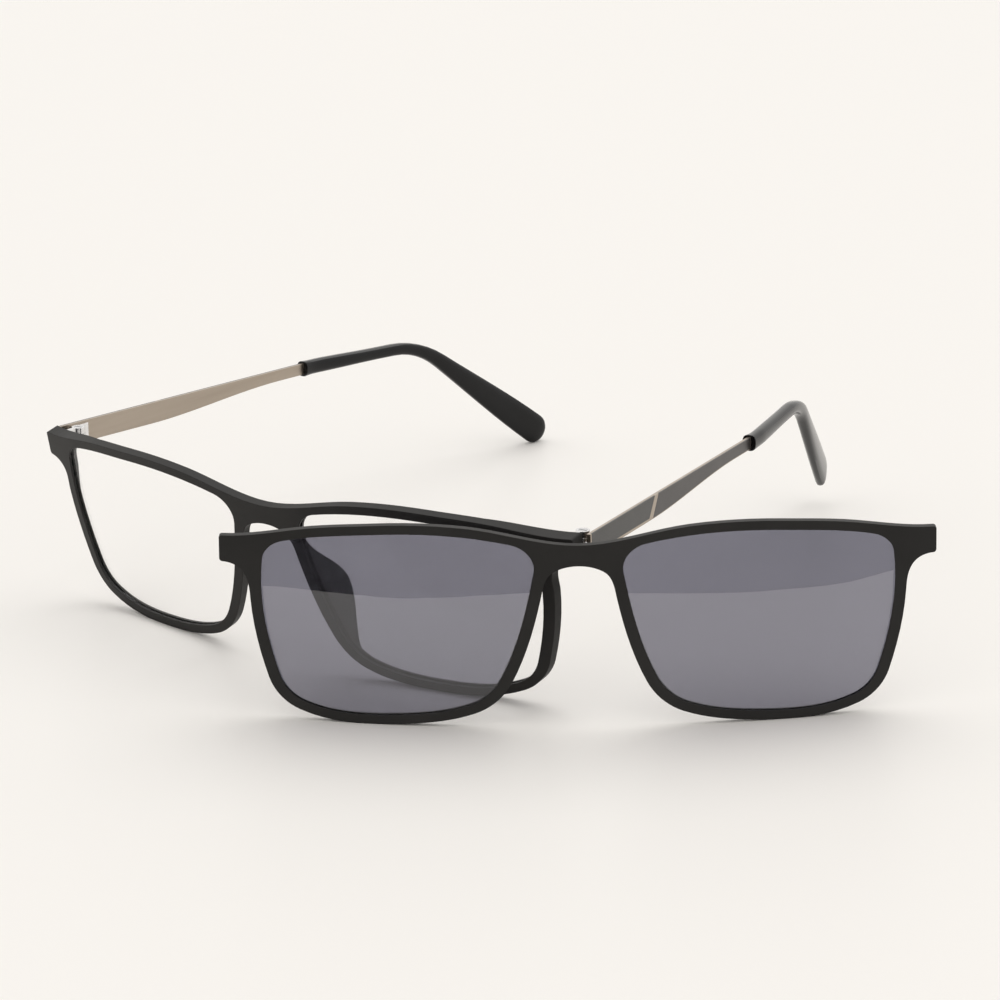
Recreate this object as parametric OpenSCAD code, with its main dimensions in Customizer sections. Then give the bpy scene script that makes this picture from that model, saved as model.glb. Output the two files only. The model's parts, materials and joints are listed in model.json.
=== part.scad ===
// Eyeglasses with a magnetic clip-on sun front, standing open on a table, the clip-on leaning upright
// in front of the right endpiece. X runs across the glasses, Y runs back along the temples, Z is up,
// and Z = 0 is the table. Left and right are the sides seen from the front, -X and +X.

/* [Lenses] */
// Width of a lens opening
lens_w = 53; // [49:0.5:57]
// Height of a lens opening
lens_h = 37.2; // [34:0.2:40]
// Gap between the two lens openings at the nose
bridge_w = 16.7; // [15.5:0.2:19.5]
// Thickness of the clear lenses in the glasses
clear_lens_t = 0.9; // [0.8:0.1:1]
// Thickness of the tinted lenses in the clip-on
sun_lens_t = 0.9; // [0.7:0.1:1.1]
// How far a lens edge reaches into its groove
groove_d = 0.5; // [0.3:0.05:0.7]

/* [Front] */
// Width of the rim beside a lens
rim_side = 2.3; // [1.9:0.1:3]
// Width of the rim above a lens
rim_top = 1.8; // [1.5:0.1:2.4]
// Width of the rim below a lens
rim_low = 1.8; // [1.5:0.05:2.4]
// Radius of the front's curve, seen from above
front_curve_r = 218; // [190:4:350]
// Depth of the rim from front to back
front_t = 2.1; // [2:0.1:3]
// Depth from the front face to the clear lens
clear_lens_set = 0.6; // [0.5:0.05:0.7]
// Drop from the top of the rims to the middle of the bridge
bridge_drop = 3.8; // [2.8:0.1:4.8]
// Height of the bridge at its middle
bridge_h = 4.1; // [3.4:0.1:5]
// Drop from the top of the rims to the lug's top corner
lug_drop = 4.1; // [3:0.1:4.8]
// Height of the lug
lug_h = 5.2; // [4.8:0.1:6]
// How far a lug stands out beside the rim
lug_reach = 5.35; // [4.9:0.05:6.2]
// Depth of the endpiece behind the front face, at the lug
endpiece_d = 3.2; // [3:0.1:3.8]
// Forward lean of the front as it stands
front_lean = 12.6; // [9:0.2:14]

/* [Nose pads] */
// Reach of a moulded pad behind the rim, along its flare
pad_reach = 6.1; // [4.8:0.1:6.6]
// Length of a pad down the nose side of the rim
pad_len = 22; // [19:0.5:23]
// Thickness of a pad
pad_t = 1.8; // [1.5:0.1:2.1]
// Outward flare of a pad towards the face
pad_flare = 22; // [10:1:28]

/* [Hinges] */
// Outer radius of the hinge knuckles
knuckle_r = 1.4; // [1.3:0.05:1.6]
// Height of the hinge over its three knuckles
hinge_h = 4.2; // [3.9:0.1:4.5]
// Distance from the endpiece back to the hinge axis
hinge_stand = 3.35; // [3:0.05:3.7]
// Radius of the hinge screw's shank
screw_r = 0.6; // [0.5:0.05:0.7]
// Radius of the hinge screw's head
screw_head_r = 1; // [0.9:0.05:1.15]
// Radial clearance of the temple knuckle on the screw
pin_clear = 0.05; // [0.02:0.01:0.08]
// Distance from the hinge axis out to the temple's inner face
hinge_inset = 2.2; // [2:0.05:2.6]

/* [Temples] */
// Length of a temple's straight run, from the hinge axis to the ear bend
temple_straight = 107.5; // [102:0.5:112]
// Height of the temple behind the hinge
temple_h = 4.6; // [4.4:0.1:5.4]
// Height of the temple where it enters the sleeve
temple_neck_h = 2.5; // [2.3:0.1:2.8]
// Thickness of the steel temple
temple_t = 0.85; // [0.8:0.05:1.2]
// Inward angle of the left temple as it stands, fully open
toe_left = -0.4; // [-1:0.1:6]
// Inward angle of the right temple as it stands, a little short of fully open
toe_right = 11.4; // [0:0.1:12]
// Upward set of the right temple against the left one
raise_right = 1.6; // [0:0.1:2]
// Drop from the endpiece's top to the temples
temple_drop = 0.7; // [0.4:0.1:1.6]
// Downward slope of a temple's top edge
temple_slope = 2.7; // [1:0.1:4]
// Distance from the hinge axis to the sleeve's mouth
sleeve_start = 78; // [74:1:82]
// Distance from the hinge axis to the bare metal band, along the lower edge
band_start = 25; // [20:0.5:27]
// Width of the bare metal band
band_w = 1.7; // [1.2:0.1:2.2]
// Depth of the lacquered inlays in the temple's outer face
inlay_t = 0.3; // [0.2:0.05:0.35]

/* [Ear ends] */
// Inward set of the ear end from the sleeve's mouth on
ear_set = 6.8; // [3:0.1:9]
// Downward angle of the ear end behind its bend
hook_pitch = 37.3; // [33:0.1:42]
// Inward angle of the ear end behind its bend
hook_inward = 13.3; // [9:0.1:20]
// Radius of the ear bend
hook_r = 26; // [22:0.5:30]
// Half height of the sleeve along its straight run
sleeve_half_h = 1.6; // [1.55:0.05:1.9]
// Half thickness of the sleeve
sleeve_half_t = 1.4; // [1.3:0.05:1.6]
// Half height of the paddle at the end
paddle_half_h = 3.5; // [3.1:0.1:3.9]

/* [Clip-on] */
// How far the clip-on's lugs reach past the glasses' own
clip_over = 0.7; // [0:0.1:1.2]
// Thickness of the clip-on's front
clip_t = 1.85; // [1.8:0.05:2.4]
// Depth from the clip-on's front face to its lenses
sun_lens_set = 0.45; // [0.4:0.05:0.5]
// Turn of the clip-on from the glasses as it stands
clip_turn = 37; // [33:0.2:40]
// Backward lean of the clip-on as it stands
clip_lean = 0.8; // [0:0.1:3]
// How far out past the right lug the clip-on's middle stands
clip_past = 2.8; // [1:0.2:5]
// Clear gap between the clip-on and the endpiece it stands in front of
clip_clear = 0.87; // [0.4:0.01:2]

/* [Magnets] */
// Radius of a magnet
magnet_r = 1.25; // [1:0.05:1.35]
// Length of a magnet in the glasses
magnet_len = 1.6; // [1.2:0.1:1.7]
// Thickness of a magnet in the clip-on
clip_magnet_t = 1; // [0.8:0.1:1.2]
// Plastic left between a magnet and the edge of the lens
magnet_wall = 0.7; // [0.6:0.05:0.9]
// Plastic left in front of a magnet in the glasses
magnet_skin = 0.7; // [0.5:0.1:0.9]

/* [Hidden] */

// Steps in each smooth stretch of an outline
steps = 9;
// Small overlap that joins solids of one piece
bite = 0.2;
// Gap between pieces that move past each other
gap = 0.3;
// Reach of a cutting solid past what it cuts
past = 40;
// Play between a lens and its groove
lens_play = 0.04;
// Play between a magnet and its seat, and its depth below the clip-on's back
magnet_play = 0.03;
magnet_sink = 0.1;

// Places worked out from the sizes above
lens_x = bridge_w / 2 + lens_w / 2;
lens_side = lens_x + lens_w / 2;
half_w = lens_side + rim_side + lug_reach;
clip_half_w = half_w + clip_over;
clip_x = half_w + clip_past;
lens_z = rim_low + lens_h / 2;
top_z = rim_low + lens_h + rim_top;
bridge_top_z = top_z - bridge_drop;
arch_z = bridge_top_z - bridge_h;
lug_top_z = top_z - lug_drop;
lug_low_z = lug_top_z - lug_h;
lug_mid_z = (lug_top_z + lug_low_z) / 2;
magnet_x = lens_side + groove_d + magnet_wall + magnet_r;

// Depth of the curved front face behind its foremost line, at a distance x from the middle
function face_y(x) = front_curve_r - sqrt(front_curve_r * front_curve_r - x * x);

// Curves

function unit(v) = v / norm(v);
function heading(a) = [cos(a), sin(a)];
function outward(t) = [-t[1], t[0]];

// Points and directions along one smooth stretch, from anchor a to just before anchor b.
// An anchor is [point, direction], and the stretch is the cubic nearest to a circular arc.
function stretch(a, b, n = steps) =
    let (turn = acos(max(-1, min(1, a[1] * b[1]))),
        reach = norm(b[0] - a[0]) / (3 * pow(cos(turn / 4), 2)),
        p1 = a[0] + reach * a[1],
        p2 = b[0] - reach * b[1])
    [for (i = [0:n - 1])
        let (t = i / n, s = 1 - t)
        [s * s * s * a[0] + 3 * s * s * t * p1 + 3 * s * t * t * p2 + t * t * t * b[0],
            unit(s * s * (p1 - a[0]) + 2 * s * t * (p2 - p1) + t * t * (b[0] - p2))]];

function points_of(curve) = [for (c = curve) c[0]];

// Lens outline, clockwise from the middle of its top edge, the nose at the left: each anchor is
// a share of the half width, a share of the half height, and a heading
lens_anchors = [[0.16, 0.98, -6], [0.84, 0.865, -19], [0.995, 0.65, -85], [0.885, -0.605, -103],
    [0.71, -0.875, -150], [0, -0.97, -185], [-0.52, -0.84, -208], [-0.745, -0.55, -250],
    [-0.99, 0.585, -262], [-0.825, 0.9, -343]];

function lens_anchor(i) =
    let (a = lens_anchors[i % len(lens_anchors)], half = [lens_w / 2, lens_h / 2])
    [[lens_x + a[0] * half[0], lens_z + a[1] * half[1]],
        unit([cos(a[2]) * half[0], sin(a[2]) * half[1]])];

lens_curve = [for (i = [0:len(lens_anchors) - 1]) each stretch(lens_anchor(i), lens_anchor(i + 1))];

// Outline of a lens opening, grown all round by a distance
function opening(grow) = [for (c = lens_curve) c[0] + grow * outward(c[1])];

// Outer edge of the rim: wider at the sides than above and below
rim_curve = [for (c = lens_curve)
    let (o = outward(c[1]), up = o[1] > 0 ? rim_top : rim_low)
    [c[0] + [rim_side * o[0], up * o[1]], c[1]]];

function rim_part(from, to) = [for (i = [from:to]) rim_curve[i % len(rim_curve)]];

// Where the brow, the lug and the nose arch leave the rim, counted in outline steps
brow_leave = floor(0.7 * steps);
lug_meet = floor(2.35 * steps);
arch_leave = floor(7.8 * steps);
brow_meet = floor(9.4 * steps);
lug_round = 0.6;
// Where the lug's underside turns down to the rim: in from the lug's end, as a share of its reach,
// and below its lower corner, as a share of its height
lug_under = [0.85981, 0.32692];
// Where the nose arch turns over: a share of the nose gap out from its middle, and a drop from its top
arch_shoulder = [0.29, 1.2];

arch_turn = [[bridge_w * arch_shoulder[0], arch_z - arch_shoulder[1]], heading(150)];

// Right half of a front's outer edge, whose lug ends at w from the middle: from the middle of the
// bridge's top round to the nose arch
function half_edge(w) =
    let (lug_turn = [[w - lug_under[0] * lug_reach, lug_low_z - lug_under[1] * lug_h], heading(-128)],
        top_corner = [[w - lug_round, lug_top_z], heading(-2)],
        low_corner = [[w - lug_round, lug_low_z], heading(-180)])
    points_of(concat(
        stretch([[0, bridge_top_z], heading(0)], rim_curve[brow_meet]),
        rim_part(brow_meet, len(rim_curve) + brow_leave - 1),
        stretch(rim_curve[brow_leave], top_corner),
        stretch(top_corner, [[w, lug_top_z - lug_round], heading(-90)], 4),
        stretch([[w, lug_low_z + lug_round], heading(-90)], low_corner, 4),
        stretch(low_corner, lug_turn),
        stretch(lug_turn, rim_curve[lug_meet]),
        rim_part(lug_meet, arch_leave - 1),
        stretch(rim_curve[arch_leave], arch_turn),
        stretch(arch_turn, [[0, arch_z], heading(180)]),
        [[[0, arch_z], heading(180)]]));

function whole_edge(half) = concat(half, [for (i = [len(half) - 2:-1:1]) [-half[i][0], half[i][1]]]);
front_edge = whole_edge(half_edge(half_w));
clip_edge = whole_edge(half_edge(clip_half_w));

// Places on the table

// Lift that sets the lowest point of a leaning front on the table
function sit(lean, depth) =
    -min([for (p = front_edge) p[1] * cos(lean) + (face_y(p[0]) + depth) * sin(lean)]);
front_lift = sit(front_lean, 0);
clip_lift = sit(-clip_lean, clip_t);

// The temple's outer face stands a little proud of the endpiece's end
temple_proud = 0.4;
// Place of a hinge: its axis stands upright behind the endpiece
end_y = (face_y(half_w) + endpiece_d) * cos(front_lean) - lug_mid_z * sin(front_lean);
hinge_x = half_w + temple_proud - temple_t - hinge_inset;
hinge_y = end_y + hinge_stand;
temple_top_z = (face_y(half_w) + endpiece_d) * sin(front_lean)
    + lug_top_z * cos(front_lean) + front_lift - temple_drop;
hinge_mid_z = temple_top_z - temple_h / 2;
knuckle_h = hinge_h / 3;

// The clip-on stands where its back just clears the foremost corner of the right endpiece
function clip_reach(corner) =
    let (along = (corner[0] - clip_x) * cos(clip_turn) + corner[1] * sin(clip_turn),
        back = -(corner[0] - clip_x) * sin(clip_turn) + corner[1] * cos(clip_turn))
    back - face_y(along) - clip_t - corner[2] * sin(clip_lean) - clip_clear;
endpiece_corners = [for (z = [lug_top_z, lug_low_z])
    [half_w, face_y(half_w) * cos(front_lean) - z * sin(front_lean), z * cos(front_lean)]];
clip_y = min([for (c = endpiece_corners) clip_reach(c)]) / cos(clip_turn);

// Building blocks of the curved fronts

// Copies its children to a side: 1 is the right, -1 the left
module side(s) {
    if (s > 0) children();
    else mirror([1, 0, 0]) children();
}

// Stands an outline drawn in X and Z upright, as deep as the front ever reaches
module upright(points) {
    translate([0, past, 0])
        rotate([90, 0, 0])
            linear_extrude(height = 2 * past)
                polygon(points);
}

// The curved layer between two depths behind the front face
module layer(from, to) {
    translate([0, front_curve_r, -1])
        difference() {
            cylinder(r = front_curve_r - from, h = top_z + 2, $fn = 360);
            translate([0, 0, -1])
                cylinder(r = front_curve_r - to, h = top_z + 4, $fn = 360);
        }
}

module curved_plate(points, from, to) {
    intersection() {
        layer(from, to);
        upright(points);
    }
}

// A front's outline with its two openings, as deep as a front ever reaches
module front_prism(edge) {
    difference() {
        upright(edge);
        for (s = [-1, 1]) side(s) upright(opening(0));
    }
}

// Stands the glasses' front on the table, leaning forward
module stand_front() {
    translate([-mid_x, -mid_y, front_lift])
        rotate([front_lean, 0, 0])
            children();
}

// Stands the clip-on on the table, turned and leaning back
module stand_clip() {
    translate([clip_x - mid_x, clip_y - mid_y, clip_lift])
        rotate([0, 0, clip_turn])
            rotate([-clip_lean, 0, 0])
                children();
}

// Puts a piece drawn round an upright hinge axis at a side's hinge
module at_hinge(s) {
    translate([s * hinge_x - mid_x, hinge_y - mid_y, hinge_mid_z])
        side(s)
            children();
}

// As at_hinge, turned to the temple's inward angle
module on_leaf(s) {
    at_hinge(s) rotate([0, 0, s > 0 ? toe_right : toe_left]) children();
}

// As on_leaf, with the temple's upward set
module on_temple(s) {
    on_leaf(s) rotate([s > 0 ? raise_right : 0, 0, 0]) children();
}

// Glasses: front

// The endpiece thins out inward along the brow, as far as a share of the lens opening, and fades out
// down the rim over a length below the lug
toe_share = 0.25;
fade_len = 8;
toe_x = lens_x + lens_w * toe_share;
lug_back = face_y(half_w) + endpiece_d;
rim_back = face_y(lens_side) + front_t;

// Plan of the endpiece that carries the hinge, from the rim's back to the butt face
module endpiece_plan() {
    polygon([[half_w + 1, -1], [half_w + 1, lug_back], [half_w, lug_back],
        [toe_x, face_y(toe_x) + front_t - bite], [toe_x, -1]]);
}

// The endpiece from the side, as depth and height: below the lug only its excess over the rim stays
module endpiece_side() {
    polygon([[-1, top_z], [lug_back + 1, top_z], [lug_back + 1, lug_low_z], [lug_back, lug_low_z],
        [rim_back + endpiece_d - front_t, lug_low_z - bite], [rim_back, lug_low_z - fade_len],
        [-1, lug_low_z - fade_len]]);
}

module endpiece() {
    intersection() {
        front_prism(front_edge);
        linear_extrude(height = top_z + 1) endpiece_plan();
        rotate([90, 0, 90])
            linear_extrude(height = half_w + 1)
                endpiece_side();
        behind(0);
    }
}

// Everything further back than a depth behind the front face
module behind(depth) {
    translate([0, front_curve_r, -1])
        cylinder(r = front_curve_r - depth, h = top_z + 2, $fn = 360);
}

// Nose side of the rim, from below the pad to above it, and the line that the pad hinges out from
pad_from = floor(6.3 * steps);
pad_to = floor(8.4 * steps);
pad_foot = rim_curve[floor(7.5 * steps)][0];
pad_top = rim_curve[pad_to][0];
pad_lean = atan2(pad_foot[0] - pad_top[0], pad_top[1] - pad_foot[1]);
pad_root = 1.2;
// Plan of a pad in front view, which thins away into the rim at its lower end
pad_strip = concat(
    [for (c = rim_part(pad_from, pad_to)) c[0]],
    [for (i = [pad_to:-1:pad_from + 1])
        rim_curve[i][0] - pad_t * min(1, (i - pad_from) / steps) * outward(rim_curve[i][1])]);

// Side view of a pad, as depth behind the front face and height over its foot: it swells from the
// rim's back below the bridge and thins out again towards the rim's lower corner. Each anchor is
// a share of the pad's reach, a share of its length and a heading
pad_anchors = [[0, 0.56, -86], [0.36, 0.341, -53], [1, -0.01, -92], [0.73, -0.339, -108],
    [0.48, -0.581, -103], [0.38, -0.68, -112]];
function pad_anchor(i) =
    let (a = pad_anchors[i])
    [[front_t + a[0] * pad_reach, a[1] * pad_len], heading(a[2])];
pad_profile = concat(
    [[pad_root, pad_anchor(0)[0][1]]],
    [for (i = [0:len(pad_anchors) - 2]) each points_of(stretch(pad_anchor(i), pad_anchor(i + 1)))],
    [pad_anchor(len(pad_anchors) - 1)[0], [pad_root, pad_anchor(len(pad_anchors) - 1)[0][1]]]);

// A moulded nose pad: a fin that stands back from the nose side of the rim, flared outward
module nose_pad() {
    translate([pad_foot[0], face_y(pad_foot[0]), pad_foot[1]])
        rotate([0, -pad_lean, 0])
            rotate([0, 0, -pad_flare])
                intersection() {
                    rotate([0, pad_lean, 0])
                        translate([-pad_foot[0], 0, -pad_foot[1]])
                            upright(pad_strip);
                    translate([-past, 0, 0])
                        rotate([90, 0, 90])
                            linear_extrude(height = 2 * past)
                                polygon(pad_profile);
                }
}

// Room for the knuckles and the temple's butt end, cut square across the endpiece's back as far
// down as the lug reaches
module hinge_room(s) {
    at_hinge(s)
        translate([-past / 2, -hinge_stand, -hinge_h])
            cube([past, past, past]);
}

module front_frame() {
    color([0.1, 0.1, 0.105])
        difference() {
            stand_front()
                difference() {
                    union() {
                        intersection() {
                            layer(0, front_t);
                            front_prism(front_edge);
                        }
                        for (s = [-1, 1]) side(s) {
                            endpiece();
                            intersection() {
                                nose_pad();
                                behind(pad_root);
                            }
                        }
                    }
                    for (s = [-1, 1]) side(s)
                        curved_plate(opening(groove_d + lens_play), clear_lens_set - lens_play,
                            clear_lens_set + clear_lens_t + lens_play);
                    for (s = [-1, 1]) frame_magnet_place(s)
                        cylinder(r = magnet_r + magnet_play, h = past / 2, $fn = 48);
                }
            for (s = [-1, 1]) {
                hinge_room(s);
                at_hinge(s) leaf_plate();
            }
        }
}

// Axis of a magnet, square to the curved front, from a depth behind the front face
module magnet_place(s, depth) {
    translate([s * magnet_x, face_y(magnet_x), lug_mid_z])
        rotate([0, 0, s * asin(magnet_x / front_curve_r)])
            translate([0, depth, 0])
                rotate([-90, 0, 0])
                    children();
}

// Seat of a magnet in the glasses: a bore from behind, up to the skin left in front of it
module frame_magnet_place(s) {
    magnet_place(s, magnet_skin) children();
}

module frame_magnet(s) {
    color([0.72, 0.73, 0.75])
        stand_front() frame_magnet_place(s) cylinder(r = magnet_r, h = magnet_len, $fn = 48);
}

module clear_lens(s) {
    color([0.93, 0.96, 0.97, 0.25])
        stand_front() side(s)
            curved_plate(opening(groove_d), clear_lens_set, clear_lens_set + clear_lens_t);
}

// Hinges

plate_t = 0.9;
plate_len = 5.6;
leaf_t = 0.55;
leaf_len = 4.6;
leaf_h_share = 0.8;
knuckle_play = 0.06;

// The front leaf's plate, cast into the endpiece
module leaf_plate() {
    translate([-plate_t / 2, -plate_len, -hinge_h / 2])
        cube([plate_t, plate_len - knuckle_r + bite, hinge_h]);
}

// The front leaf: a plate and the upper and lower knuckles, threaded for the screw below
module front_hinge_leaf(s) {
    color([0.85, 0.85, 0.86])
        at_hinge(s)
            difference() {
                union() {
                    leaf_plate();
                    for (z = [-hinge_h / 2, hinge_h / 2 - knuckle_h])
                        translate([0, 0, z]) {
                            cylinder(r = knuckle_r, h = knuckle_h, $fn = 64);
                            translate([-plate_t / 2, -knuckle_r - bite, 0])
                                cube([plate_t, knuckle_r + bite, knuckle_h]);
                        }
                }
                translate([0, 0, -hinge_h / 2 - 1]) cylinder(r = screw_r, h = hinge_h + 2, $fn = 48);
                translate([0, 0, -knuckle_h / 2 - knuckle_play])
                    cylinder(r = knuckle_r + gap / 2, h = knuckle_h + 2 * knuckle_play, $fn = 64);
                translate([0, 0, hinge_h / 2 - screw_head_t])
                    cylinder(r = screw_head_r, h = screw_head_t + 1, $fn = 48);
            }
}

screw_head_t = 0.6;
slot_w = 0.3;

// The hinge screw: a slotted flat head over a straight shank
module hinge_screw(s) {
    color([0.75, 0.75, 0.77])
        at_hinge(s)
            difference() {
                union() {
                    translate([0, 0, -hinge_h / 2]) cylinder(r = screw_r, h = hinge_h - bite, $fn = 48);
                    translate([0, 0, hinge_h / 2 - screw_head_t])
                        cylinder(r = screw_head_r, h = screw_head_t, $fn = 48);
                }
                translate([-screw_head_r, -slot_w / 2, hinge_h / 2 - screw_head_t / 2])
                    cube([2 * screw_head_r, slot_w, screw_head_t]);
            }
}

// The temple leaf: a middle knuckle and a plate welded inside the temple
module temple_hinge_leaf(s) {
    color([0.82, 0.82, 0.83])
        on_leaf(s)
            difference() {
                union() {
                    translate([0, 0, -knuckle_h / 2]) {
                        cylinder(r = knuckle_r, h = knuckle_h, $fn = 64);
                        cube([hinge_inset, knuckle_r, knuckle_h]);
                    }
                    translate([hinge_inset - leaf_t, gap, -hinge_h * leaf_h_share / 2])
                        cube([leaf_t, leaf_len, hinge_h * leaf_h_share]);
                }
                translate([0, 0, -hinge_h]) cylinder(r = screw_r + pin_clear, h = 2 * hinge_h, $fn = 48);
                for (z = [-hinge_h, knuckle_h / 2])
                    translate([0, 0, z]) cylinder(r = knuckle_r + gap / 2, h = hinge_h, $fn = 64);
            }
}

// Temples

// Top edge of the temple at a distance s behind the hinge axis, counted from the hinge's middle
function top_edge(s) = temple_h / 2 - s * tan(temple_slope);

// Height of the temple at a distance s: full, then an easy S down to the neck
waist_start = band_start + 0.8;
neck_len = 9;
waist_end = sleeve_start - neck_len;
function temple_height(s) =
    let (t = max(0, min(1, (s - waist_start) / (waist_end - waist_start))), e = t * t * (3 - 2 * t))
    temple_h + (temple_neck_h - temple_h) * e;

function low_edge(s) = top_edge(s) - temple_height(s);

function spaced(a, b, n) = [for (i = [0:n]) a + (b - a) * i / n];

// Outline of a stretch of the temple between two distances
function strip_outline(from, to, n) = concat(
    [[from, top_edge(from)], [to, top_edge(to)]],
    [for (s = spaced(to, from, n)) [s, low_edge(s)]]);

// Stands a temple outline, drawn in distance and height, upright between two depths,
// counted outward from the temple's inner face
module temple_slab(points, from, to) {
    translate([hinge_inset + from, 0, 0])
        rotate([90, 0, 90])
            linear_extrude(height = to - from)
                polygon(points);
}

sleeve_cover = 1.5;
butt = gap - hinge_stand;
band_slant = 2.9;
inlay_low = 0.5;
rear_inlay_low = 0.15;
inlay_from = butt + 0.5;
rear_from = band_start + band_w;
rear_to = sleeve_start - gap;
// How far the cut for an inlay rises past the top edge, as a share of the inlay's height
cut_rise = 0.3;

// Outline of an inlay: flush with the temple's top edge between two distances, and following its
// low edge at an inset. The cut for it carries its two ends on past the top edge
function inlay_outline(top_from, top_to, low_from, low_to, low_inset, rise) =
    let (low = [for (s = spaced(low_to, low_from, 20)) [s, low_edge(s) + low_inset]],
        start = [top_from, top_edge(top_from)], end = [top_to, top_edge(top_to)])
    concat([start + rise * (start - low[20]), end + rise * (end - low[0])], low);
function front_inlay_outline(rise) =
    inlay_outline(inlay_from, band_start + band_slant, inlay_from, band_start, inlay_low, rise);
function rear_inlay_outline(rise) =
    inlay_outline(rear_from + band_slant, rear_to, rear_from, rear_to, rear_inlay_low, rise);

// The steel temple, recessed outside for its two inlays, with a core that runs into the sleeve
module temple_strip(s) {
    color([0.7, 0.66, 0.6])
        on_temple(s) {
            difference() {
                temple_slab(strip_outline(butt, sleeve_start + sleeve_cover, 24), 0, temple_t);
                temple_slab(front_inlay_outline(cut_rise), temple_t - inlay_t, temple_t + 1);
                temple_slab(rear_inlay_outline(cut_rise), temple_t - inlay_t, temple_t + 1);
            }
            tube_of(core_rings);
        }
}

module front_inlay(s) {
    color([0.23, 0.22, 0.22])
        on_temple(s) temple_slab(front_inlay_outline(0), temple_t - inlay_t, temple_t);
}

module rear_inlay(s) {
    color([0.23, 0.21, 0.21])
        on_temple(s) temple_slab(rear_inlay_outline(0), temple_t - inlay_t, temple_t);
}

// Ear sleeves

// Heading that points inward and down from straight back
function ear_heading(inward, down) = [-sin(inward) * cos(down), cos(inward) * cos(down), -sin(down)];

// Place and heading after a length along an arc that leaves a start, turning from one heading to another
function arc_at(start, from, to, r, length) =
    let (a = length / r * 180 / PI, across = unit(to - (from * to) * from))
    [start + r * (sin(a) * from + (1 - cos(a)) * across), cos(a) * from + sin(a) * across];
function arc_length(from, to, r) = acos(from * to) * PI / 180 * r;

// The path of the sleeve's middle: straight back, a slight turn inward behind the mouth, straight,
// the ear bend, then straight down and in
temple_dir = ear_heading(0, temple_slope);
sleeve_dir = ear_heading(ear_set, temple_slope);
hook_dir = ear_heading(hook_inward, hook_pitch);
set_r = 45;
neck_mid = temple_neck_h / 2;
function straight_at(s) = [hinge_inset + temple_t / 2, s, top_edge(s) - neck_mid];

set_from = sleeve_start + sleeve_cover;
set_to = set_from + arc_length(temple_dir, sleeve_dir, set_r);
set_end = arc_at(straight_at(set_from), temple_dir, sleeve_dir, set_r, set_to - set_from)[0];
bend_start = set_end + (temple_straight - set_to) * sleeve_dir;
bend_len = arc_length(sleeve_dir, hook_dir, hook_r);
bend_to = temple_straight + bend_len;
bend_end = arc_at(bend_start, sleeve_dir, hook_dir, hook_r, bend_len)[0];
// The paddle's round end touches the table
hook_len = (hinge_mid_z + bend_end[2] - paddle_half_h) / sin(hook_pitch);
path_end = bend_to + hook_len;

// Place and heading of the path at a distance along it
function path(s) =
    s <= set_from ? [straight_at(s), temple_dir] :
    s <= set_to ? arc_at(straight_at(set_from), temple_dir, sleeve_dir, set_r, s - set_from) :
    s <= temple_straight ? [set_end + (s - set_to) * sleeve_dir, sleeve_dir] :
    s <= bend_to ? arc_at(bend_start, sleeve_dir, hook_dir, hook_r, s - temple_straight) :
    [bend_end + (s - bend_to) * hook_dir, hook_dir];

// Half height and half thickness of the sleeve at a distance along its path
function ease(a, b, s) = let (t = max(0, min(1, (s - a) / (b - a)))) t * t * (3 - 2 * t);
lip = 0.12;
lip_len = 2.5;
waist = 0.25;
waist_lead = 6;
paddle_thin = 0.15;
function lip_at(s) = lip * (1 - ease(sleeve_start, sleeve_start + lip_len, s));
function waist_at(s) = waist * ease(sleeve_start + waist_lead, temple_straight - waist_lead, s)
    * (1 - ease(temple_straight, path_end, s));
function sleeve_h(s) = sleeve_half_h - waist_at(s) + lip_at(s)
    + (paddle_half_h - sleeve_half_h) * ease(temple_straight + 2, path_end, s);
function sleeve_t(s) = sleeve_half_t + lip_at(s) - paddle_thin * ease(temple_straight, path_end, s);

// A ring of points round the path, as a rounded box section
sides = 20;
function section(k) =
    let (a = (k + 0.5) * 360 / sides, c = cos(a), d = sin(a),
        m = pow(pow(abs(c), 3) + pow(abs(d), 3), -1 / 3))
    [m * c, m * d];
// Middle, sideways heading and upright heading of the path at a distance
function cross_frame(s) =
    let (p = path(s), wide = unit(cross(p[1], [0, 0, 1])))
    [p[0], wide, cross(wide, p[1])];
function ring(s, half_t, half_h) =
    let (f = cross_frame(s))
    [for (k = [0:sides - 1]) f[0] + section(k)[0] * half_t * f[1] + section(k)[1] * half_h * f[2]];

core_half_h = 0.95;
core_half_t = temple_t * 0.45;
core_short = 6;
core_end = path_end - core_short;
function core_ring(s) =
    let (f = cross_frame(s), w = core_half_t * f[1], h = core_half_h * f[2])
    [f[0] + w + h, f[0] - w + h, f[0] - w - h, f[0] + w - h];

body_stations = concat([sleeve_start, sleeve_start + lip_len / 2],
    spaced(set_from + 1, set_to, 2),
    spaced(set_to + (temple_straight - set_to) / 4, temple_straight, 3),
    spaced(temple_straight + bend_len / 6, bend_to, 5),
    spaced(bend_to + hook_len / 8, path_end, 7));
// Shrinking rings that close the paddle with a round end
cap_angles = [15, 30, 45, 58, 70, 81];
cap_power = 0.6;
sleeve_rings = concat(
    [for (s = body_stations) ring(s, sleeve_t(s), sleeve_h(s))],
    [for (a = cap_angles)
        ring(path_end + paddle_half_h * sin(a), sleeve_t(path_end) * pow(cos(a), cap_power),
            paddle_half_h * cos(a))]);

// The pocket in the sleeve fits the temple's end at the mouth and its core further in
core_stations = concat([set_from - bite], spaced(set_from + (set_to - set_from) / 2, set_to, 1),
    spaced(set_to + (temple_straight - set_to) / 2, temple_straight, 1),
    spaced(temple_straight + bend_len / 4, bend_to, 3),
    spaced(bend_to + hook_len / 4, core_end, 2));
core_rings = [for (s = core_stations) core_ring(s)];

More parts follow.
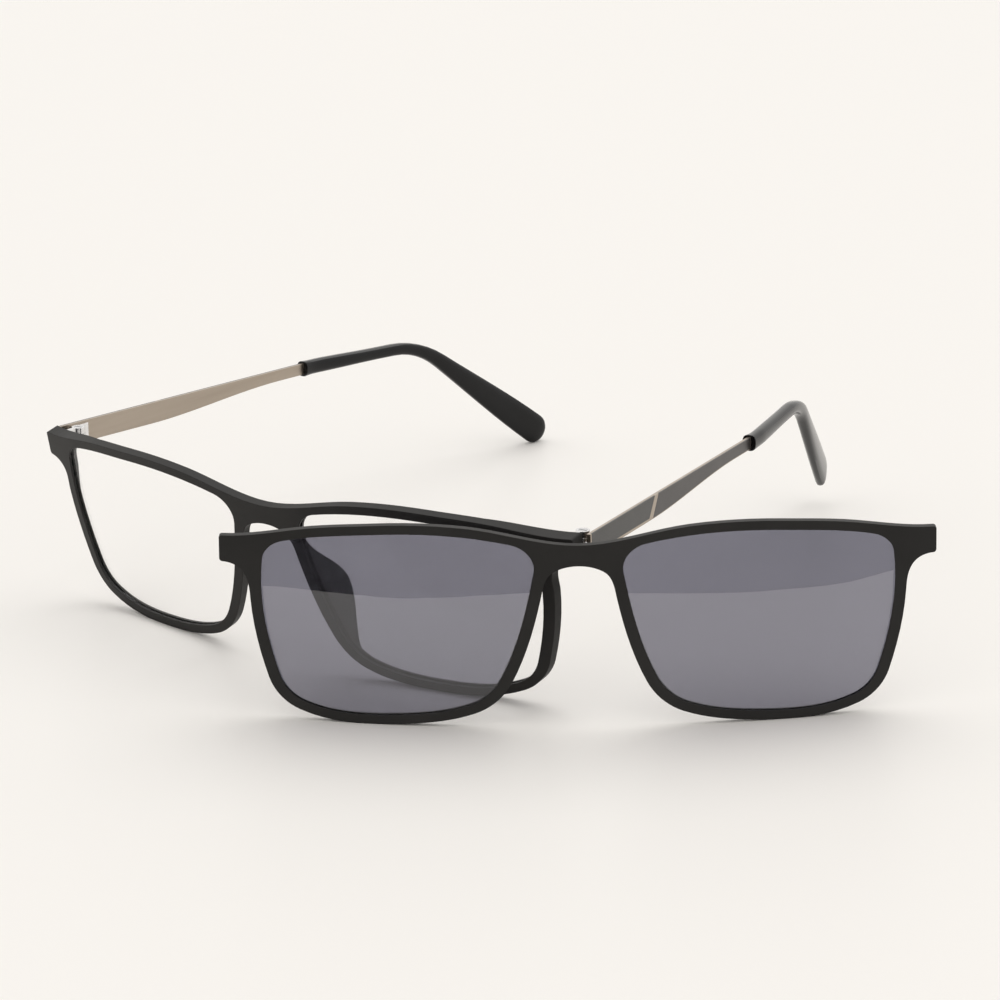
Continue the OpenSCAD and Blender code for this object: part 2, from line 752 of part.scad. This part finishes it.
// A closed solid through rings of equal count, with flat ends
module tube_of(rings) {
    n = len(rings[0]);
    last = len(rings) - 1;
    polyhedron(
        points = [for (r = rings) each r],
        faces = concat(
            [[for (k = [n - 1:-1:0]) k]],
            [for (j = [0:last - 1], k = [0:n - 1])
                let (a = j * n + k, b = j * n + (k + 1) % n)
                each [[a, b + n, a + n], [a, b, b + n]]],
            [[for (k = [0:n - 1]) last * n + k]]),
        convexity = 6);
}

module ear_sleeve(s) {
    color([0.04, 0.04, 0.045])
        on_temple(s)
            difference() {
                tube_of(sleeve_rings);
                temple_slab(strip_outline(sleeve_start - 1, sleeve_start + sleeve_cover, 4), 0, temple_t);
                tube_of(core_rings);
            }
}

// Clip-on

module clip_frame() {
    color([0.1, 0.1, 0.105])
        stand_clip()
            difference() {
                intersection() {
                    layer(0, clip_t);
                    front_prism(clip_edge);
                }
                for (s = [-1, 1]) side(s) {
                    curved_plate(opening(groove_d + lens_play), sun_lens_set - lens_play,
                        sun_lens_set + sun_lens_t + lens_play);
                }
                for (s = [-1, 1]) clip_magnet_place(s)
                    cylinder(r = magnet_r + magnet_play, h = past, $fn = 48);
            }
}

// Seat of a clip-on magnet: just below the back, facing the one in the glasses
module clip_magnet_place(s) {
    magnet_place(s, clip_t - clip_magnet_t - magnet_sink) children();
}

module clip_magnet(s) {
    color([0.72, 0.73, 0.75])
        stand_clip() clip_magnet_place(s) cylinder(r = magnet_r, h = clip_magnet_t, $fn = 48);
}

module sun_lens(s) {
    color([0.32, 0.31, 0.36, 0.85])
        stand_clip() side(s)
            curved_plate(opening(groove_d), sun_lens_set, sun_lens_set + sun_lens_t);
}

// Middle of the whole arrangement, which the origin is set under: the clip-on reaches furthest
// forward and right, the left lug or ear sleeve furthest left, and the ear ends furthest back
clip_reaches = [for (p = clip_edge, y = [face_y(p[0]), face_y(p[0]) + clip_t])
    let (back = y * cos(clip_lean) + p[1] * sin(clip_lean))
    [clip_x + p[0] * cos(clip_turn) - back * sin(clip_turn),
        clip_y + p[0] * sin(clip_turn) + back * cos(clip_turn)]];
far_y = hinge_y + max([for (r = sleeve_rings, p = r, a = [[toe_left, 0], [toe_right, raise_right]])
    p[0] * sin(a[0]) + (p[1] * cos(a[1]) - p[2] * sin(a[1])) * cos(a[0])]);
far_left = max(half_w, hinge_x
    + max([for (r = sleeve_rings, p = r) p[0] * cos(toe_left) - p[1] * sin(toe_left)]));
mid_x = (max([for (p = clip_reaches) p[0]]) - far_left) / 2;
mid_y = (far_y + min([for (p = clip_reaches) p[1]])) / 2;

front_frame();
clear_lens(-1);  // clear_lens_left
clear_lens(1);  // clear_lens_right
front_hinge_leaf(-1);  // front_hinge_leaf_left
front_hinge_leaf(1);  // front_hinge_leaf_right
hinge_screw(-1);  // hinge_screw_left
hinge_screw(1);  // hinge_screw_right
frame_magnet(-1);  // frame_magnet_left
frame_magnet(1);  // frame_magnet_right
temple_strip(-1);  // temple_strip_left
temple_hinge_leaf(-1);  // temple_hinge_leaf_left
front_inlay(-1);  // front_inlay_left
rear_inlay(-1);  // rear_inlay_left
ear_sleeve(-1);  // ear_sleeve_left
temple_strip(1);  // temple_strip_right
temple_hinge_leaf(1);  // temple_hinge_leaf_right
front_inlay(1);  // front_inlay_right
rear_inlay(1);  // rear_inlay_right
ear_sleeve(1);  // ear_sleeve_right
clip_frame();
sun_lens(-1);  // sun_lens_left
sun_lens(1);  // sun_lens_right
clip_magnet(-1);  // clip_magnet_left
clip_magnet(1);  // clip_magnet_right
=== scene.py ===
"""Looks for the clip-on eyeglasses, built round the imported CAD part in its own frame, in metres."""

import json
import math

import bpy
from mathutils import Matrix, Vector

MM = 0.001
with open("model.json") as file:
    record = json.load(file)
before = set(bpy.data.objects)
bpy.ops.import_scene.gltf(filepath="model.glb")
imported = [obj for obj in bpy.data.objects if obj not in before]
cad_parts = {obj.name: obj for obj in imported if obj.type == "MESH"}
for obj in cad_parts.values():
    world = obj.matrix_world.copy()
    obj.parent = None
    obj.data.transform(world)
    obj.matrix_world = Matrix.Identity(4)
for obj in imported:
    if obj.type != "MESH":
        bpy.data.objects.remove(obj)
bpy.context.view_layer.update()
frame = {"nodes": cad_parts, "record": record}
nodes = frame["nodes"]
SIDES = ("left", "right")

# Camera: place in metres, heading, tilt and roll in radians, from a fit to the photograph
CAMERA_PLACE = (0.483695, -0.660404, 0.26554)
CAMERA_HEADING = 0.6527
CAMERA_TILT = -0.2887
CAMERA_ROLL = -0.0148
CAMERA_LENS = 145.54
CAMERA_SENSOR = 36.0
CAMERA_NEAR = 0.05
CAMERA_FAR = 50


def make_camera():
    data = bpy.data.cameras.new("camera")
    data.lens, data.sensor_width = CAMERA_LENS, CAMERA_SENSOR
    data.clip_start, data.clip_end = CAMERA_NEAR, CAMERA_FAR
    camera = bpy.data.objects.new("camera", data)
    camera.matrix_world = (
        Matrix.Translation(CAMERA_PLACE)
        @ Matrix.Rotation(CAMERA_HEADING, 4, "Z")
        @ Matrix.Rotation(math.pi / 2 + CAMERA_TILT, 4, "X")
        @ Matrix.Rotation(CAMERA_ROLL, 4, "Z")
    )
    bpy.context.scene.collection.objects.link(camera)
    bpy.context.scene.camera = camera


# Rays that look for an edge to round
BEVEL_SAMPLES = 6
# Where the ramps between two shades start and end, as a share of the noise
RAMP_START, RAMP_END = 0.3, 0.7


class Nodes:
    """The node tree of a material or world, with short ways to add and join nodes."""

    def __init__(self, owner, output="ShaderNodeOutputMaterial"):
        owner.use_nodes = True
        self.owner, self.tree = owner, owner.node_tree
        self.tree.nodes.clear()
        self.output = self.add(output)

    def add(self, kind, settings=None, **inputs):
        node = self.tree.nodes.new(kind)
        for key, value in (settings or {}).items():
            setattr(node, key, value)
        for key, value in inputs.items():
            self.set(node, key.replace("_", " "), value)
        return node

    def set(self, node, socket, value):
        target = node.inputs[socket]
        if isinstance(value, bpy.types.NodeSocket):
            self.tree.links.new(value, target)
        else:
            target.default_value = value

    def noise(self, scale, detail=4.0, stretch=None):
        place = self.add("ShaderNodeTexCoord").outputs["Object"]
        if stretch:
            mapping = self.add("ShaderNodeMapping", Vector=place, Scale=stretch)
            place = mapping.outputs["Vector"]
        node = self.add("ShaderNodeTexNoise", Vector=place, Scale=scale, Detail=detail)
        return node.outputs["Fac"]

    def shades(self, factor, low, high):
        node = self.add("ShaderNodeValToRGB", Fac=factor)
        stops = ((RAMP_START, low), (RAMP_END, high))
        for element, (at, colour) in zip(node.color_ramp.elements, stops):
            element.position, element.color = at, (*colour, 1)
        return node.outputs["Color"]

    def spread(self, factor, low, high):
        node = self.add("ShaderNodeMapRange", Value=factor)
        self.set(node, "To Min", low)
        self.set(node, "To Max", high)
        return node.outputs["Result"]

    def rounded(self, radius):
        node = self.add("ShaderNodeBevel", {"samples": BEVEL_SAMPLES}, Radius=radius)
        return node.outputs["Normal"]

    def bump(self, height, distance, normal=None):
        node = self.add("ShaderNodeBump", Height=height, Distance=distance, Strength=1.0)
        if normal:
            self.set(node, "Normal", normal)
        return node.outputs["Normal"]

    def any_ray(self, *kinds):
        path = self.add("ShaderNodeLightPath")
        result = path.outputs[kinds[0]]
        for kind in kinds[1:]:
            either = self.add("ShaderNodeMath", {"operation": "MAXIMUM"})
            self.set(either, 0, result)
            self.set(either, 1, path.outputs[kind])
            result = either.outputs[0]
        return result

    def mix(self, factor, first, second):
        node = self.add("ShaderNodeMixShader", Fac=factor)
        self.set(node, 1, first.outputs[0])
        self.set(node, 2, second.outputs[0])
        return node

    def finish(self, shader):
        self.set(self.output, "Surface", shader.outputs[0])
        return self.owner


def new_material(name):
    return Nodes(bpy.data.materials.new(name))


# Scales of the noises, in waves to a metre: changes of shade and of gloss, and the fine relief
PLASTIC_SHADE, PLASTIC_GLOSS, PLASTIC_GRAIN = 60, 180, 2600
POLISH_SHADE, POLISH_GLOSS, POLISH_RIPPLE = 90, 140, 300
LACQUER_FLAKE, LACQUER_GLOSS, LACQUER_RIPPLE = 4200, 160, 900
METAL_STREAK = 500
GLASS_GLOSS = 70
FINE_DETAIL = 2
# Depth of the ripple left in polished, lacquered and metal skins
RIPPLE_DEPTH = 0.004 * MM
# Edge radii that a material gives its pieces
PLASTIC_EDGE = 0.22 * MM
METAL_EDGE = 0.08 * MM
# How far the roughness wanders either way; for polish it is a share of the roughness itself
ROUGH_WANDER = 0.04
METAL_WANDER = 0.05
POLISH_WANDER = 0.3


def moulded_plastic(name, low, high, roughness, grain):
    n = new_material(name)
    p = n.add("ShaderNodeBsdfPrincipled")
    gloss = n.noise(PLASTIC_GLOSS)
    n.set(p, "Base Color", n.shades(n.noise(PLASTIC_SHADE), low, high))
    n.set(p, "Roughness", n.spread(gloss, roughness - ROUGH_WANDER, roughness + ROUGH_WANDER))
    n.set(p, "Specular IOR Level", 0.12)
    n.set(p, "Normal", n.bump(n.noise(PLASTIC_GRAIN, FINE_DETAIL), grain, n.rounded(PLASTIC_EDGE)))
    return n.finish(p)


def polished_plastic(name, low, high, roughness):
    n = new_material(name)
    p = n.add("ShaderNodeBsdfPrincipled")
    rough = (roughness * (1 - POLISH_WANDER), roughness * (1 + POLISH_WANDER))
    n.set(p, "Base Color", n.shades(n.noise(POLISH_SHADE), low, high))
    n.set(p, "Roughness", n.spread(n.noise(POLISH_GLOSS), *rough))
    n.set(p, "Specular IOR Level", 0.24)
    n.set(p, "Normal", n.bump(n.noise(POLISH_RIPPLE, FINE_DETAIL), RIPPLE_DEPTH))
    return n.finish(p)


def metal(name, low, high, roughness, stretch=(1, 1, 1)):
    n = new_material(name)
    streaks = n.noise(METAL_STREAK, 3, stretch)
    p = n.add("ShaderNodeBsdfPrincipled")
    n.set(p, "Base Color", n.shades(streaks, low, high))
    n.set(p, "Metallic", 1.0)
    n.set(p, "Roughness", n.spread(streaks, roughness - METAL_WANDER, roughness + METAL_WANDER))
    n.set(p, "Normal", n.bump(streaks, RIPPLE_DEPTH, n.rounded(METAL_EDGE)))
    return n.finish(p)


def lacquer(name, low, high, roughness):
    n = new_material(name)
    p = n.add("ShaderNodeBsdfPrincipled")
    gloss = n.noise(LACQUER_GLOSS)
    ripple = n.noise(LACQUER_RIPPLE, FINE_DETAIL)
    n.set(p, "Base Color", n.shades(n.noise(LACQUER_FLAKE, 1), low, high))
    n.set(p, "Metallic", 0.35)
    n.set(p, "Roughness", n.spread(gloss, roughness - METAL_WANDER, roughness + METAL_WANDER))
    n.set(p, "Coat Weight", 0.25)
    n.set(p, "Coat Roughness", 0.2)
    n.set(p, "Normal", n.bump(ripple, RIPPLE_DEPTH, n.rounded(METAL_EDGE)))
    return n.finish(p)


# A lens lets shadow and diffuse rays straight through, tinted, so that its shadow isn't black
def glass(name, tint, shadow, ior):
    n = new_material(name)
    p = n.add("ShaderNodeBsdfPrincipled")
    n.set(p, "Base Color", (*tint, 1))
    n.set(p, "Roughness", n.spread(n.noise(GLASS_GLOSS), 0.0, 0.012))
    n.set(p, "IOR", ior)
    n.set(p, "Transmission Weight", 1.0)
    clear = n.add("ShaderNodeBsdfTransparent", Color=(*shadow, 1))
    return n.finish(n.mix(n.any_ray("Is Shadow Ray", "Is Diffuse Ray"), p, clear))


# One material for each slot of the record. A temple's streaks run along it, so they are drawn out
# in y
MATERIALS = {
    "front_plastic": moulded_plastic(
        "matte_black_plastic", (0.023, 0.0221, 0.0212), (0.03, 0.0288, 0.0276), 0.46, 0.008 * MM
    ),
    "clear_lens": glass("clear_lens", (0.995, 0.995, 0.995), (0.92, 0.92, 0.92), 1.4),
    "sun_lens": glass("sun_lens", (0.222, 0.222, 0.272), (0.4, 0.39, 0.43), 1.72),
    "hinge_steel": metal("bright_plating", (0.72, 0.72, 0.72), (0.86, 0.86, 0.87), 0.16),
    "screw_steel": metal("screw_steel", (0.6, 0.6, 0.61), (0.74, 0.74, 0.76), 0.22),
    "magnet_nickel": metal("nickel", (0.62, 0.62, 0.62), (0.74, 0.74, 0.75), 0.2),
    "temple_steel": metal(
        "satin_steel", (0.38, 0.322, 0.264), (0.44, 0.378, 0.315), 0.34, (1, 0.04, 1)
    ),
    "front_inlay": lacquer("gunmetal_front", (0.036, 0.035, 0.033), (0.052, 0.05, 0.047), 0.42),
    "rear_inlay": lacquer("gunmetal_rear", (0.04, 0.035, 0.033), (0.056, 0.05, 0.048), 0.42),
    "ear_sleeve": polished_plastic(
        "gloss_black", (0.004, 0.004, 0.004), (0.008, 0.008, 0.009), 0.14
    ),
}


def dress_nodes():
    for part in frame["record"]["subparts"]:
        slots = nodes[part["node"]].data.materials
        slots.clear()
        slots.append(MATERIALS[part["material_slot"]])


# The sleeves' facets are shaded as one smooth skin, save where they meet at more than this angle
SMOOTH_BELOW = math.radians(38)
WELD_WITHIN = 0.001 * MM


def smooth_sleeves():
    for side in SIDES:
        sleeve = nodes["ear_sleeve_" + side]
        for polygon in sleeve.data.polygons:
            polygon.use_smooth = True
        weld = sleeve.modifiers.new("weld", "WELD")
        weld.merge_threshold = WELD_WITHIN
        split = sleeve.modifiers.new("split", "EDGE_SPLIT")
        split.split_angle = SMOOTH_BELOW
        split.use_edge_sharp = False
        sleeve.modifiers.new("normals", "WEIGHTED_NORMAL")


FLOOR_SIZE = 6.0
FLOOR_COLOUR = (0.93, 0.905, 0.87)


def stage_mesh(name, points, faces, material):
    mesh = bpy.data.meshes.new(name)
    mesh.from_pydata(points, [], faces)
    mesh.materials.append(material)
    thing = bpy.data.objects.new(name, mesh)
    bpy.context.scene.collection.objects.link(thing)
    return thing


def make_floor():
    n = new_material("floor")
    p = n.add("ShaderNodeBsdfPrincipled")
    n.set(p, "Base Color", (*FLOOR_COLOUR, 1))
    n.set(p, "Roughness", 0.4)
    n.set(p, "Specular IOR Level", 0.08)
    h = FLOOR_SIZE / 2
    corners = [(-h, -h, 0), (h, -h, 0), (h, h, 0), (-h, h, 0)]
    stage_mesh("floor", corners, [(0, 1, 2, 3)], n.finish(p))


# A dark card lies on the floor some way in front of the clip-on. It is seen only in reflections
# and only from above, and darkens the upper part of the sun lenses, as in the photograph.
# Its near edge, in metres
CARD_EDGE = (
    (-0.0069, -0.1850),
    (0.0001, -0.1838),
    (0.0076, -0.1815),
    (0.0186, -0.1771),
    (0.0293, -0.1724),
    (0.0429, -0.1657),
    (0.0570, -0.1611),
    (0.0712, -0.1561),
    (0.0815, -0.1516),
    (0.0885, -0.1485),
    (0.1171, -0.1250),
    (0.1255, -0.1163),
    (0.1350, -0.1048),
    (0.1463, -0.0898),
    (0.1524, -0.0825),
    (0.1581, -0.0749),
    (0.1637, -0.0671),
    (0.1701, -0.0593),
    (0.1797, -0.0502),
    (0.1854, -0.0443),
)
CARD_OUT = Vector((0.602, -0.799, 0.0))
CARD_ALONG = Vector((0.799, 0.602, 0.0))
CARD_DEPTH = 1.2
CARD_SPREAD = 0.8
CARD_LIFT = 0.2 * MM
CARD_COLOUR = (0.01, 0.01, 0.01)


def make_card():
    near = [Vector((x, y, CARD_LIFT)) for x, y in CARD_EDGE]
    near = [near[0] - CARD_SPREAD * CARD_ALONG] + near + [near[-1] + CARD_SPREAD * CARD_ALONG]
    far = [point + CARD_DEPTH * CARD_OUT for point in near]
    count = len(near)
    faces = [(i, count + i, count + i + 1, i + 1) for i in range(count - 1)]
    n = new_material("card")
    dark = n.add("ShaderNodeBsdfDiffuse", Color=(*CARD_COLOUR, 1))
    clear = n.add("ShaderNodeBsdfTransparent")
    side = n.add("ShaderNodeNewGeometry")
    material = n.finish(n.mix(side.outputs["Backfacing"], dark, clear))
    card = stage_mesh("card", [tuple(point) for point in near + far], faces, material)
    for ray in ("camera", "diffuse", "transmission", "volume_scatter", "shadow"):
        setattr(card, "visible_" + ray, False)


SKY_COLOUR = (1, 0.985, 0.965)
SKY_LIGHT = 0.76
BACKDROP_COLOUR = (0.97, 0.95, 0.92)
BACKDROP_LIGHT = 1.0
SUN_LIGHT = 0.92
SUN_SPREAD = math.radians(55)
SUN_FROM = Vector((-0.145, 0.518, 1))


def make_lights():
    n = Nodes(bpy.data.worlds.new("studio"), "ShaderNodeOutputWorld")
    sky = n.add("ShaderNodeBackground", Color=(*SKY_COLOUR, 1), Strength=SKY_LIGHT)
    backdrop = n.add("ShaderNodeBackground", Color=(*BACKDROP_COLOUR, 1), Strength=BACKDROP_LIGHT)
    seen = n.any_ray("Is Camera Ray", "Is Glossy Ray", "Is Transmission Ray")
    bpy.context.scene.world = n.finish(n.mix(seen, sky, backdrop))

    sun = bpy.data.lights.new("softbox", "SUN")
    sun.energy, sun.angle = SUN_LIGHT, SUN_SPREAD
    lamp = bpy.data.objects.new("softbox", sun)
    lamp.rotation_euler = SUN_FROM.to_track_quat("Z", "Y").to_euler()
    bpy.context.scene.collection.objects.link(lamp)


make_camera()
make_floor()
make_card()
make_lights()
dress_nodes()
smooth_sleeves()
bpy.context.scene.view_settings.view_transform = "Standard"
